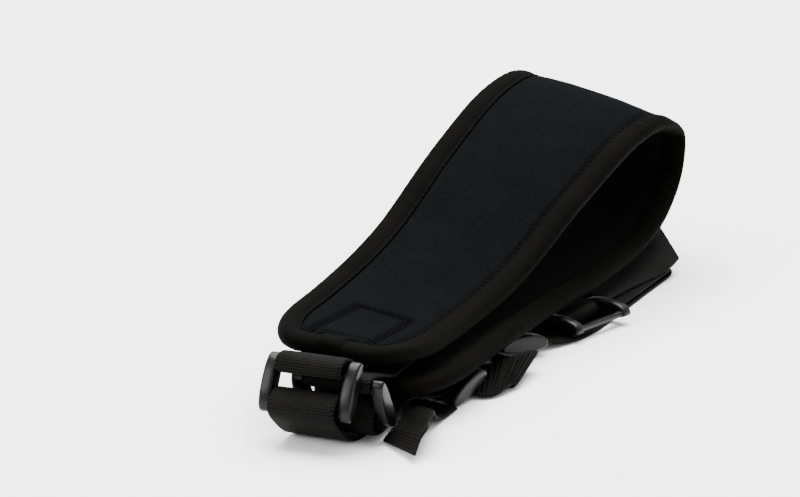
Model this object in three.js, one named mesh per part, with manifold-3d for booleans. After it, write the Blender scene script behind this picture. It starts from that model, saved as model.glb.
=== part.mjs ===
// Padded instrument neck strap, folded in half and laid on a table.
//
// Millimetres, +Z up. The pad lies along Y: both of its ends are at -Y and the fold is at +Y.
// The webbing straps and their sliders are gathered in front of and under the pad's lower leg.
import * as THREE from 'three';
import { mergeVertices } from 'three/addons/utils/BufferGeometryUtils.js';
import Module from 'manifold-3d';

const wasm = await Module();
wasm.setup();

// ---------------------------------------------------------------- driving sizes
const PAD = {
  length: 541,          // flat length from end to end
  endHalfWidth: 12.2,   // half of the straight edge at each end
  cornerLength: 37,     // length of the rounded corner, measured along the pad
  cornerHalfWidth: 28.8, // half width where the rounded corner ends
  middleHalfWidth: 34.6,
  halfThickness: 3.2,
  seamDrop: 0.5,        // how much thinner each face is at the tape's seam
  seamWall: 0.4,        // how far in the face steps up from the part under the tape
  seamSlope: 4.1,       // how far in the face is back at its full height
};
const TAPE = {
  width: 9.2,           // how far the edge tape reaches in over each face
  halfThickness: 3.1,   // half of the bound edge's thickness
  ply: 1.1,             // thickness of the tape itself
  hem: 2,               // how far from the seam the tape starts to turn down into it
};
const WEB = { width: 25, thickness: 1.4 };
const TAB = {           // places where a tab is sewn to the pad, measured from the pad's end
  upperSewnAt: [42, 28, 14, 3],
  lowerSewnAt: [24, 17, 10, 3],
};
const SLIDER = {
  width: 34.4,
  length: 21,
  railWidth: 4.4,
  crown: 4.2,           // how far a side rail arches out in front of the bars' middle
  belly: 2.2,           // how far it bulges behind
  railSquareness: 2.25, // 2 would be an ellipse, more is squarer
  barDepth: 2.6,
  barThickness: 2.2,
  barsFromTop: [2.6, 14.6, 18.6],
  edge: 0.6,            // rounding of the rails' and bars' edges
};
const GAP = 0.3;        // clearance between touching pieces
const STEPS = {
  corner: 6,            // of the outline round one corner of the pad
  side: 19,             // of the outline from a corner to the pad's middle
  rail: 16,             // round a slider's side rail
  line: 400,            // for measuring along a line
  perRow: 3,            // of a band between two rows of its table
};

// ---------------------------------------------------------------- finishes
const FINISH = {
  pad: new THREE.MeshStandardMaterial({ color: 0x15171c, roughness: 0.95, metalness: 0 }),
  tape: new THREE.MeshStandardMaterial({ color: 0x121110, roughness: 0.85, metalness: 0 }),
  web: new THREE.MeshStandardMaterial({ color: 0x171615, roughness: 0.8, metalness: 0 }),
  plastic: new THREE.MeshStandardMaterial({ color: 0x1b1b1d, roughness: 0.35, metalness: 0 }),
};

const strap = new THREE.Group();
const add = (name, geometry, material) => {
  const mesh = new THREE.Mesh(geometry, material);
  mesh.name = name;
  strap.add(mesh);
  return mesh;
};

// ---------------------------------------------------------------- the pad's bend
// The pad's centre line from its upper end, over the fold, to its lower end. lean is how far
// the pad's width is turned about the line, in degrees.
const PAD_LINE = [
  { x: -2.1, y: -5, z: 28.8, lean: -4 },
  { x: -4.3, y: 47, z: 27.9, lean: -10 },
  { x: -3.7, y: 101, z: 34.9, lean: -13.6 },
  { x: -1.6, y: 156, z: 53.3, lean: -14.2 },
  { x: 0.2, y: 208, z: 66.2, lean: -13.2 },
  { x: 1.1, y: 239, z: 65.2, lean: -12 },
  { x: 1.5, y: 255.6, z: 53, lean: -7.4 },
  { x: 1.6, y: 250.9, z: 37.5, lean: -2 },
  { x: 1.7, y: 234, z: 24.5, lean: 1 },
  { x: 1.9, y: 210, z: 18.0, lean: 3 },
  { x: 2.5, y: 165, z: 16.0, lean: 5 },
  { x: 2.8, y: 114, z: 17.3, lean: 7 },
  { x: 3.4, y: 64, z: 17.0, lean: 7 },
  { x: 4.3, y: 22, z: 16.6, lean: 7 },
  { x: 4.6, y: 4, z: 16.5, lean: 8 },
];

// A frame at every place along a line of rows: point, direction, width direction and face.
// heading turns the width direction about Z before lean turns it about the line.
function framedLine(rows, tension = 'centripetal') {
  const points = rows.map((row) => new THREE.Vector3(row.x, row.y, row.z));
  const line = new THREE.CatmullRomCurve3(points, false, tension);
  const turns = rows.map((row) => new THREE.Vector3(row.lean ?? 0, row.heading ?? 0, 0));
  const turnLine = new THREE.CatmullRomCurve3(turns, false, 'catmullrom', 0.5);
  return (t) => {
    const point = line.getPoint(t);
    const along = line.getTangent(t);
    const { x: lean, y: heading } = turnLine.getPoint(t);
    const heads = THREE.MathUtils.degToRad(heading);
    const across = new THREE.Vector3(Math.cos(heads), Math.sin(heads), 0);
    across.addScaledVector(along, -across.dot(along)).normalize();
    across.applyAxisAngle(along, -THREE.MathUtils.degToRad(lean));
    const face = new THREE.Vector3().crossVectors(across, along);
    return { point, along, across, face, lean, heading };
  };
}

// The same line, asked by distance along it.
function byDistance(frameAt, steps = STEPS.line) {
  const marks = [{ t: 0, distance: 0 }];
  let last = frameAt(0).point;
  for (let i = 1; i <= steps; i += 1) {
    const here = frameAt(i / steps).point;
    marks.push({ t: i / steps, distance: marks[i - 1].distance + here.distanceTo(last) });
    last = here;
  }
  const total = marks[steps].distance;
  const at = (distance) => {
    const wanted = THREE.MathUtils.clamp(distance, 0, total);
    let i = marks.findIndex((mark) => mark.distance >= wanted);
    i = Math.max(i, 1);
    const [a, b] = [marks[i - 1], marks[i]];
    const share = (wanted - a.distance) / (b.distance - a.distance);
    return frameAt(THREE.MathUtils.lerp(a.t, b.t, share));
  };
  return { at, total };
}

const padLine = byDistance(framedLine(PAD_LINE));
const padScale = padLine.total / PAD.length;

// Bends a place on the flat pad: along it, across it, and out from its middle layer.
function bend(along, across, out) {
  const frame = padLine.at(along * padScale);
  return frame.point.clone()
    .addScaledVector(frame.across, across)
    .addScaledVector(frame.face, out);
}

// ---------------------------------------------------------------- solids from rings
// A closed solid from rings of equal length. Rings that meet their own start need no caps.
function solidFromRings(rings, { closed = false } = {}) {
  const size = rings[0].length;
  const positions = rings.flatMap((ring) => ring.flatMap((p) => [p.x, p.y, p.z]));
  const faces = [];
  const last = closed ? rings.length : rings.length - 1;
  for (let i = 0; i < last; i += 1) {
    const a = i * size;
    const b = ((i + 1) % rings.length) * size;
    for (let j = 0; j < size; j += 1) {
      const k = (j + 1) % size;
      faces.push(a + j, b + j, b + k, a + j, b + k, a + k);
    }
  }
  if (!closed) {
    const end = (rings.length - 1) * size;
    for (let j = 1; j < size - 1; j += 1) {
      faces.push(0, j, j + 1);
      faces.push(end, end + j + 1, end + j);
    }
  }
  return facingOut(positions, faces);
}

// Turns every face round if the solid came out inside out.
function facingOut(positions, faces) {
  const at = (i) => new THREE.Vector3().fromArray(positions, i * 3);
  let volume = 0;
  for (let i = 0; i < faces.length; i += 3) {
    volume += at(faces[i]).dot(at(faces[i + 1]).cross(at(faces[i + 2])));
  }
  const turnedRound = [...faces].reverse();
  const geometry = new THREE.BufferGeometry();
  geometry.setAttribute('position', new THREE.Float32BufferAttribute(positions, 3));
  geometry.setIndex(volume >= 0 ? faces : turnedRound);
  geometry.computeVertexNormals();
  return geometry;
}

// ---------------------------------------------------------------- the pad's outline
// Pairs of places on the outline, one on each side, from the upper end to the lower end.
// inset moves the outline in from the pad's edge.
function outlinePairs(inset) {
  const halfLength = PAD.length / 2;
  const cornerRise = PAD.cornerHalfWidth - PAD.endHalfWidth;
  const pairs = [];
  for (let i = 0; i < STEPS.corner; i += 1) {
    const turn = (i / STEPS.corner) * Math.PI / 2;
    pairs.push({
      along: PAD.cornerLength - (PAD.cornerLength - inset) * Math.cos(turn),
      across: PAD.endHalfWidth + (cornerRise - inset) * Math.sin(turn),
    });
  }
  for (let i = 0; i <= STEPS.side; i += 1) {
    const along = THREE.MathUtils.lerp(PAD.cornerLength, halfLength, i / STEPS.side);
    const swell = Math.sin((i / STEPS.side) * Math.PI / 2) ** 2;
    const across = THREE.MathUtils.lerp(PAD.cornerHalfWidth, PAD.middleHalfWidth, swell) - inset;
    pairs.push({ along, across });
  }
  const mirrored = pairs.slice(0, -1).reverse()
    .map((pair) => ({ along: PAD.length - pair.along, across: pair.across }));
  return [...pairs, ...mirrored];
}

// The outline as one closed run of places: down the right side and back up the left.
function outlineLoop(inset) {
  const pairs = outlinePairs(inset);
  return [...pairs, ...[...pairs].reverse().map((pair) => ({ ...pair, across: -pair.across }))];
}

// ---------------------------------------------------------------- pad and edge tape
// The pad has a thin tongue all round, inside the folded tape, and a thick middle.
function padBody() {
  const tongue = TAPE.halfThickness - TAPE.ply - GAP;
  const seam = TAPE.width + GAP;
  const profile = [
    { inset: TAPE.ply + GAP, out: tongue * 0.8 },
    { inset: seam, out: tongue },
    { inset: seam + PAD.seamWall, out: PAD.halfThickness - PAD.seamDrop },
    { inset: seam + PAD.seamSlope, out: PAD.halfThickness },
  ];
  const levels = [...[...profile].reverse(), ...profile.map((p) => ({ ...p, out: -p.out }))];
  const loops = levels.map((level) => outlineLoop(level.inset)
    .map((place) => bend(place.along, place.across, level.out)));
  const size = loops[0].length;
  const half = size / 2;
  const positions = loops.flatMap((loop) => loop.flatMap((p) => [p.x, p.y, p.z]));
  const faces = [];
  for (let i = 0; i < loops.length - 1; i += 1) {
    for (let j = 0; j < size; j += 1) {
      const k = (j + 1) % size;
      const [a, b, c, d] = [i * size + j, i * size + k, (i + 1) * size + k, (i + 1) * size + j];
      faces.push(a, d, c, a, c, b);
    }
  }
  const bottom = (loops.length - 1) * size;
  for (let j = 0; j < half - 1; j += 1) {
    const [a, b] = [j, j + 1];
    const [c, d] = [size - 2 - j, size - 1 - j];
    faces.push(a, b, c, a, c, d);
    faces.push(bottom + a, bottom + c, bottom + b, bottom + a, bottom + d, bottom + c);
  }
  return facingOut(positions, faces);
}

// The tape is one ring, folded over the pad's edge.
function edgeTape() {
  const { width, halfThickness, ply, hem } = TAPE;
  const face = [
    { inset: 0, out: 0.9 },
    { inset: 1.0, out: 2.2 },
    { inset: 3.2, out: halfThickness },
    { inset: width - hem, out: halfThickness },
    { inset: width, out: halfThickness - PAD.seamDrop },
    { inset: width, out: halfThickness - ply },
    { inset: ply, out: (halfThickness - ply) * 0.85 },
  ];
  const section = [...face, ...[...face].reverse().map((p) => ({ ...p, out: -p.out }))];
  const loops = section.map((point) => outlineLoop(point.inset)
    .map((place) => bend(place.along, place.across, point.out)));
  const rings = loops[0].map((_, j) => loops.map((loop) => loop[j]));
  return solidFromRings(rings, { closed: true });
}

add('pad', padBody(), FINISH.pad);
add('pad_edge_tape', edgeTape(), FINISH.tape);

// ---------------------------------------------------------------- webbing
// A flat band along a line of rows.
function webbing(rows) {
  const frameAt = framedLine(rows);
  const steps = (rows.length - 1) * STEPS.perRow;
  const rings = [];
  for (let i = 0; i <= steps; i += 1) {
    const { point, across, face } = frameAt(i / steps);
    const corner = (side, top) => point.clone()
      .addScaledVector(across, side * WEB.width / 2)
      .addScaledVector(face, top * WEB.thickness / 2);
    rings.push([corner(-1, -1), corner(1, -1), corner(1, 1), corner(-1, 1)]);
  }
  return solidFromRings(rings);
}

// A band given by its left and right edges, for the places where it twists. A row per place.
function webbingBetween(rows) {
  const edge = (side) => new THREE.CatmullRomCurve3(
    rows.map((row) => new THREE.Vector3(row[`${side}X`], row[`${side}Y`], row[`${side}Z`])));
  const [left, right] = [edge('left'), edge('right')];
  const steps = (rows.length - 1) * STEPS.perRow;
  const rings = [];
  for (let i = 0; i <= steps; i += 1) {
    const [a, b] = [left.getPoint(i / steps), right.getPoint(i / steps)];
    const along = left.getTangent(i / steps).add(right.getTangent(i / steps));
    const lift = b.clone().sub(a).cross(along).setLength(WEB.thickness / 2);
    rings.push([a.clone().sub(lift), b.clone().sub(lift), b.clone().add(lift), a.clone().add(lift)]);
  }
  return solidFromRings(rings);
}

// ---------------------------------------------------------------- sliders
function manifoldFrom(geometry) {
  const bare = geometry.clone();
  bare.deleteAttribute('normal');
  bare.deleteAttribute('uv');
  const merged = mergeVertices(bare, 1e-4);
  return new wasm.Manifold(new wasm.Mesh({
    numProp: 3,
    vertProperties: new Float32Array(merged.attributes.position.array),
    triVerts: new Uint32Array(merged.index.array),
  }));
}

function geometryFrom(manifold) {
  const mesh = manifold.getMesh();
  const geometry = new THREE.BufferGeometry();
  geometry.setAttribute('position', new THREE.BufferAttribute(mesh.vertProperties, 3));
  geometry.setIndex(new THREE.BufferAttribute(mesh.triVerts, 1));
  geometry.computeVertexNormals();
  return geometry;
}

// A bar from one outline in its YZ plane, drawn at each station {x, grow} along X.
function stationedBar(outline, stations) {
  return solidFromRings(stations.map(({ x, grow }) => outline
    .map(([y, z]) => new THREE.Vector3(x, y * grow, z * grow))));
}

// A side rail's outline, seen from the slider's side: an oval, squared off a little, that
// bulges more in front than behind.
function railOutline() {
  const { length, crown, belly, railSquareness } = SLIDER;
  const squared = (value) => Math.sign(value) * Math.abs(value) ** (2 / railSquareness);
  return Array.from({ length: STEPS.rail }, (_, i) => {
    const turn = ((i + 0.5) / STEPS.rail) * Math.PI * 2;
    const rise = squared(Math.sin(turn));
    return [squared(Math.cos(turn)) * length / 2, rise * (rise > 0 ? crown : belly)];
  });
}

// A bar's section: a rectangle with its corners cut off.
function barOutline() {
  const [a, b, r] = [SLIDER.barDepth / 2, SLIDER.barThickness / 2, SLIDER.edge];
  return [
    [a, -b + r], [a, b - r], [a - r, b], [r - a, b],
    [-a, b - r], [-a, -b + r], [r - a, -b], [a - r, -b],
  ];
}

// A slider lies in its own XY plane: bars along X, its top edge at +Y, its arched front at +Z.
function sliderGeometry() {
  const { width, length, railWidth, barsFromTop, edge } = SLIDER;
  const rail = (hand) => manifoldFrom(stationedBar(railOutline(), [
    { x: hand * (width / 2 - railWidth), grow: 0.93 },
    { x: hand * (width / 2 - railWidth + edge), grow: 1 },
    { x: hand * (width / 2 - edge), grow: 1 },
    { x: hand * width / 2, grow: 0.9 },
  ]));
  const reach = width / 2 - railWidth + edge;
  const bar = (fromTop) => manifoldFrom(stationedBar(barOutline(), [
    { x: -reach, grow: 1 },
    { x: reach, grow: 1 },
  ]).translate(0, length / 2 - fromTop, 0));
  const rails = rail(1).add(rail(-1));
  return geometryFrom(barsFromTop.reduce((joined, fromTop) => joined.add(bar(fromTop)), rails));
}

// Where each slider lies: its centre, the way its bars point (heading, then tilt up) and how far
// its top is turned up from lying flat on its back.
const SLIDERS = [
  { name: 'slider_1', x: -1.2, y: -20.8, z: 20.8, heading: 0, tilt: 0, pitch: 61 },
  { name: 'slider_2', x: 6.2, y: -10.2, z: 15, heading: 0, tilt: 0, pitch: 120 },
  { name: 'slider_3', x: 13.8, y: 47.8, z: 5.5, heading: -12, tilt: -3, pitch: 20 },
  { name: 'slider_4', x: 15.3, y: 107, z: 5.1, heading: -33, tilt: 0, pitch: -2 },
  { name: 'slider_5', x: 34.6, y: 142.8, z: 4.5, heading: -105, tilt: 0, pitch: 0 },
];

const { degToRad } = THREE.MathUtils;
const sliderShape = sliderGeometry();
for (const place of SLIDERS) {
  const mesh = add(place.name, sliderShape, FINISH.plastic);
  mesh.position.set(place.x, place.y, place.z);
  mesh.rotation.order = 'ZYX';
  mesh.rotation.set(degToRad(place.pitch), degToRad(-place.tilt), degToRad(place.heading));
}

// ---------------------------------------------------------------- tabs and straps
// A tab is sewn along the pad's inner face at the given distances along it, then follows free
// rows. way is 1 where the tab runs the same way as the pad, -1 where it runs back.
function tab(distances, way, freeRows) {
  const seat = PAD.halfThickness + GAP + WEB.thickness / 2;
  const sewn = distances.map((along) => {
    const frame = padLine.at(along * padScale);
    const point = bend(along, 0, -seat);
    return { x: point.x, y: point.y, z: point.z, lean: way * frame.lean };
  });
  return webbing([...sewn, ...freeRows]);
}

add('tab_upper', tab(TAB.upperSewnAt, -1, [
  { x: -1.4, y: -10, z: 27 },
  { x: -1.2, y: -14, z: 29.6 },
  { x: -1.2, y: -18, z: 31 },
  { x: -1.2, y: -21.4, z: 30.6 },
  { x: -1.2, y: -23.3, z: 28.6 },
  { x: -1.2, y: -23.2, z: 26.6 },
  { x: -1.2, y: -21.2, z: 25.5 },
  { x: -1.2, y: -17.6, z: 25.4 },
]), FINISH.web);
const lowerSewnAt = TAB.lowerSewnAt.map((fromEnd) => PAD.length - fromEnd);
add('tab_lower', tab(lowerSewnAt, 1, [
  { x: 5.6, y: -4, z: 22.3 },
  { x: 6.2, y: -9.5, z: 23.8 },
  { x: 6.2, y: -13.6, z: 24.2 },
  { x: 6.2, y: -16, z: 23 },
  { x: 6.2, y: -16.2, z: 20.8 },
  { x: 6.2, y: -14, z: 19.3 },
  { x: 6.2, y: -9, z: 18.2 },
  { x: 5, y: -4.2, z: 16.4, heading: 3 },
  { x: 4, y: -1.6, z: 13.8, heading: 7 },
  { x: 3.4, y: -0.5, z: 10.8, heading: 9 },
]), FINISH.web);

// The upper strap: sewn end behind slider 1, over its middle bar, down to the table, back under
// the pad and across through slider 5, round its middle bar and back in.
add('strap_upper', webbing([
  { x: -1.2, y: -18.2, z: 9 },
  { x: -1.2, y: -18.5, z: 12.4 },
  { x: -1.2, y: -19.1, z: 15.6 },
  { x: -1.2, y: -20.4, z: 18.4 },
  { x: -1.2, y: -22.8, z: 19.6 },
  { x: -1.2, y: -25.8, z: 19.1 },
  { x: -1.2, y: -28.4, z: 17.4 },
  { x: -1.2, y: -29.7, z: 15 },
  { x: -1.2, y: -28.7, z: 12.2 },
  { x: -1.2, y: -25.6, z: 9.1 },
  { x: -1.1, y: -21.4, z: 5.6 },
  { x: -0.9, y: -16.8, z: 2.6 },
  { x: -0.6, y: -11.5, z: 1.05 },
  { x: -0.3, y: -4, z: 0.75 },
  { x: -3, y: 30, z: 0.75 },
  { x: -6, y: 70, z: 0.75 },
  { x: -6, y: 100, z: 0.75 },
  { x: -6, y: 122, z: 0.75 },
  { x: -5.6, y: 130, z: 0.95, heading: -6 },
  { x: -2.5, y: 138, z: 1.7, heading: -30 },
  { x: 5.5, y: 146, z: 3.8, heading: -62 },
  { x: 14.2, y: 148.4, z: 5.8, heading: -92 },
  { x: 21.2, y: 146.5, z: 7.2, heading: -104 },
  { x: 26.7, y: 144.9, z: 7.2, heading: -105 },
  { x: 30.2, y: 144, z: 7.1, heading: -105 },
  { x: 32.4, y: 143.4, z: 6.2, heading: -105 },
  { x: 33.1, y: 143.2, z: 4.5, heading: -105 },
  { x: 32.4, y: 143.4, z: 2.95, heading: -105 },
  { x: 30.2, y: 144, z: 2.4, heading: -105 },
  { x: 26.5, y: 145, z: 2.5, heading: -105 },
  { x: 19.7, y: 146.8, z: 2.6, heading: -105 },
]), FINISH.web);

// The lower strap: sewn end behind slider 2, down to the table, back over slider 3's bars and
// round its top bar.
add('strap_lower', webbing([
  { x: 6.2, y: -3.6, z: 8.2 },
  { x: 6.2, y: -4.6, z: 11 },
  { x: 6.2, y: -6.2, z: 13.2 },
  { x: 6.2, y: -8.4, z: 14.1 },
  { x: 6.2, y: -10.9, z: 13.2 },
  { x: 6.2, y: -13.1, z: 10 },
  { x: 6.2, y: -13.6, z: 6.8 },
  { x: 6.2, y: -12, z: 4.2 },
  { x: 6.2, y: -8, z: 3 },
  { x: 6.2, y: -2, z: 3.4 },
  { x: 6.2, y: 4, z: 5.8 },
  { x: 6.6, y: 11, z: 7.8, heading: -1 },
  { x: 7.6, y: 18, z: 8.2, heading: -4 },
  { x: 9.2, y: 25, z: 7, heading: -9 },
  { x: 10.4, y: 30.5, z: 5.6, heading: -11 },
  { x: 11.2, y: 34.8, z: 4.9, heading: -12 },
  { x: 12, y: 39.6, z: 5.1, heading: -12, lean: -3 },
  { x: 12.8, y: 43.3, z: 6.4, heading: -12, lean: -3 },
  { x: 13.7, y: 47.5, z: 7.9, heading: -12, lean: -3 },
  { x: 14.6, y: 51.7, z: 9.5, heading: -12, lean: -3 },
  { x: 15.2, y: 54.3, z: 10.3, heading: -12, lean: -3 },
  { x: 15.8, y: 57.2, z: 9.5, heading: -12, lean: -2 },
  { x: 15.7, y: 57.2, z: 7.3, heading: -12 },
  { x: 15.4, y: 55.6, z: 6, heading: -12, lean: 2 },
  { x: 14.9, y: 52.6, z: 5.2, heading: -12, lean: 2 },
  { x: 14.2, y: 49.2, z: 4.4, heading: -12, lean: 2 },
]), FINISH.web);

// The strap's free end, its cut edge on the table in front of the pad.
add('strap_tail', webbingBetween([
  { leftX: 19.9, leftY: -8.1, leftZ: 0.7, rightX: 38.9, rightY: -24.2, rightZ: 3.2 },
  { leftX: 20, leftY: -1, leftZ: 2.3, rightX: 38.1, rightY: -17.6, rightZ: 7 },
  { leftX: 20.5, leftY: 3.5, leftZ: 3.8, rightX: 38.4, rightY: -12.9, rightZ: 9 },
  { leftX: 19, leftY: 9, leftZ: 5, rightX: 36.7, rightY: -7.6, rightZ: 9.4 },
  { leftX: 15.8, leftY: 15.5, leftZ: 5.6, rightX: 34.8, rightY: 0.4, rightZ: 9.2 },
  { leftX: 12, leftY: 21, leftZ: 5.2, rightX: 32.5, rightY: 6.6, rightZ: 8 },
  { leftX: 8.9, leftY: 24.6, leftZ: 4, rightX: 31, rightY: 11.8, rightZ: 4.4 },
  { leftX: 6.4, leftY: 27.6, leftZ: 2.9, rightX: 30.2, rightY: 19.5, rightZ: 1.4 },
  { leftX: 5.2, leftY: 30, leftZ: 2.5, rightX: 29.9, rightY: 26, rightZ: 0.9 },
  { leftX: 5, leftY: 34, leftZ: 2.5, rightX: 29.9, rightY: 33, rightZ: 0.9 },
]), FINISH.web);

// The strap's flat loop behind slider 3: out to the right with its far edge up, turned under
// itself and back in.
add('strap_loop', webbingBetween([
  { leftX: 18, leftY: 69.4, leftZ: 4.2, rightX: 28.5, rightY: 46.8, rightZ: 2.05 },
  { leftX: 23.2, leftY: 70.6, leftZ: 5.1, rightX: 32, rightY: 47.5, rightZ: 1.6 },
  { leftX: 27.4, leftY: 72.8, leftZ: 6, rightX: 34.9, rightY: 49, rightZ: 1.2 },
  { leftX: 31.7, leftY: 76.6, leftZ: 7.4, rightX: 37.2, rightY: 52.2, rightZ: 1.7 },
  { leftX: 35.1, leftY: 81.4, leftZ: 8.2, rightX: 38.6, rightY: 56.8, rightZ: 2.5 },
  { leftX: 37.4, leftY: 85.8, leftZ: 8.3, rightX: 39.2, rightY: 61.2, rightZ: 2.7 },
  { leftX: 38, leftY: 87.8, leftZ: 7.3, rightX: 39.3, rightY: 63.4, rightZ: 1.9 },
  { leftX: 36.2, leftY: 87.4, leftZ: 6, rightX: 37.7, rightY: 62.9, rightZ: 1 },
  { leftX: 31.5, leftY: 86, leftZ: 4.6, rightX: 33.8, rightY: 61.3, rightZ: 0.8 },
  { leftX: 26.8, leftY: 89.5, leftZ: 3.2, rightX: 31.6, rightY: 65, rightZ: 0.75 },
  { leftX: 22, leftY: 94, leftZ: 1.7, rightX: 29.4, rightY: 70.2, rightZ: 0.75 },
  { leftX: 17.6, leftY: 97.6, leftZ: 0.9, rightX: 27.3, rightY: 74.6, rightZ: 0.75 },
  { leftX: 14, leftY: 100, leftZ: 0.75, rightX: 25.4, rightY: 77.8, rightZ: 0.75 },
]), FINISH.web);

// The strap's middle run: through slider 4, along the table under the pad's right edge, folded
// back on itself at the far end.
add('strap_middle', webbing([
  { x: 5.4, y: 91.4, z: 3.8, heading: -33 },
  { x: 8, y: 95.6, z: 6.6, heading: -33 },
  { x: 10.7, y: 99.9, z: 7.7, heading: -33 },
  { x: 15.3, y: 107, z: 7.5, heading: -33 },
  { x: 19.5, y: 113.5, z: 7.1, heading: -33 },
  { x: 22, y: 117.4, z: 4.8, heading: -32 },
  { x: 24, y: 121.6, z: 2.4, heading: -27 },
  { x: 26.8, y: 128.6, z: 1.2, heading: -18 },
  { x: 28.6, y: 140, z: 0.75, heading: -8 },
  { x: 28.9, y: 165, z: 0.75 },
  { x: 28.8, y: 195, z: 0.75 },
  { x: 28.9, y: 211, z: 0.75 },
  { x: 28.9, y: 219.5, z: 0.75 },
  { x: 28.9, y: 223.4, z: 1 },
  { x: 28.9, y: 224.7, z: 1.95 },
  { x: 28.9, y: 223.4, z: 2.9 },
  { x: 28.9, y: 219.5, z: 3.15 },
  { x: 28.6, y: 195, z: 3 },
  { x: 28.2, y: 172, z: 3 },
]), FINISH.web);

// The strap's far fold: a single band over the middle run whose oblique end sticks out beyond
// the pad's edge.
add('strap_far_end', webbingBetween([
  { leftX: 11, leftY: 171.5, leftZ: 6.4, rightX: 35.6, rightY: 168, rightZ: 4.9 },
  { leftX: 13.7, leftY: 193.5, leftZ: 6.9, rightX: 38.3, rightY: 190, rightZ: 4.8 },
  { leftX: 16.1, leftY: 208.3, leftZ: 8.7, rightX: 40.6, rightY: 205, rightZ: 4.8 },
  { leftX: 18, leftY: 217.6, leftZ: 10.6, rightX: 42, rightY: 213.5, rightZ: 5 },
  { leftX: 20.6, leftY: 227.8, leftZ: 12.6, rightX: 42.8, rightY: 219, rightZ: 5.3 },
  { leftX: 23.4, leftY: 237.5, leftZ: 14.5, rightX: 42.8, rightY: 224.5, rightZ: 5.7 },
  { leftX: 26.3, leftY: 246.5, leftZ: 15.4, rightX: 42.4, rightY: 229.6, rightZ: 6 },
]), FINISH.web);

// ---------------------------------------------------------------- seat on the table
const box = new THREE.Box3().setFromObject(strap, true);
const centre = box.getCenter(new THREE.Vector3());
strap.position.set(-centre.x, -centre.y, -box.min.z);
strap.updateMatrixWorld(true);

export default strap;
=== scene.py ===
# %% [markdown]
# # A padded instrument neck strap
# The real strap is one long foam pad with cloth faces, bound all round with folded tape. A short
# webbing tab is sewn under each end. Each tab holds a moulded slider, and the sliders hold the
# webbing straps. The pad lies folded in half, with all the webbing gathered under its lower leg.
# Every piece below is worked out from named sizes in millimetres and made in the frame's metres.

# %% Load the frame
import math
import bmesh
import bpy
import numpy as np
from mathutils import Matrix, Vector


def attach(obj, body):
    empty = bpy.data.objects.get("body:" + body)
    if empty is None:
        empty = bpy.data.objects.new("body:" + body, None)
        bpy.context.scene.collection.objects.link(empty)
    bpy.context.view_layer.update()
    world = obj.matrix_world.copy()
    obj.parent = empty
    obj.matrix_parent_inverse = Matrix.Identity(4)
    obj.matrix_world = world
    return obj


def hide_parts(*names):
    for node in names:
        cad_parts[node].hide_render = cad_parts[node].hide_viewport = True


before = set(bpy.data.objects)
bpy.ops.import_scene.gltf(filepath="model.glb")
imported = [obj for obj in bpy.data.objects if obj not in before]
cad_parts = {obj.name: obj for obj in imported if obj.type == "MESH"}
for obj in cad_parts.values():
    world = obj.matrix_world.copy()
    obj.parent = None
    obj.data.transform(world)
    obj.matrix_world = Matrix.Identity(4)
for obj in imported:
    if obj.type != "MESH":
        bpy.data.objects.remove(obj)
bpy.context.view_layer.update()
MM = 0.001
print("nodes:", ", ".join(sorted(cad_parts)))

# %% [markdown]
# ## Sizes and routes
# These are the cutter's and sewer's sizes: the pad's flat outline, the tape, the webbing and the
# slider. The tables are the routes that the pad and the straps follow when the strap is laid
# down. Each row is a place on the route; heading turns the width about the upright, and lean
# turns it about the route, in degrees.

# %% Sizes and tables
# Moves the tables' places, counted from the pad's upper end, to the part's own origin.
TABLE_SHIFT = np.array([-7.905, -115.8735, 0.0145])
PAD = {"length": 541.0, "end_half_width": 12.2, "corner_length": 37.0,
       "corner_half_width": 28.8, "middle_half_width": 34.6, "half_thickness": 3.2}
TAPE_WIDTH = 9.2
WEB = {"width": 25.0, "thickness": 1.4}
CLEARANCE = 0.3
SLIDER = {"width": 34.4, "length": 21.0, "rail": 4.4, "crown": 4.2, "belly": 2.2,
          "bar_depth": 2.6, "bar_thickness": 2.2, "bars_from_top": (2.6, 14.6, 18.6),
          "squareness": 2.25, "edge": 0.9,
          "bar_squareness": 3, "sharp_angle": 40}

PAD_LINE = [   # x, y, z, lean
    (-2.1, -5, 28.8, -4), (-4.3, 47, 27.9, -10), (-3.7, 101, 34.9, -13.6), (-1.6, 156, 53.3, -14.2),
    (0.2, 208, 66.2, -13.2), (1.1, 239, 65.2, -12), (1.5, 255.6, 53.0, -7.4), (1.6, 250.9, 37.5, -2),
    (1.7, 234, 24.5, 1), (1.9, 210, 18.0, 3), (2.5, 165, 16.0, 5), (2.8, 114, 17.3, 7),
    (3.4, 64, 17.0, 7), (4.3, 22, 16.6, 7), (4.6, 4, 16.5, 8)]

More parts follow.
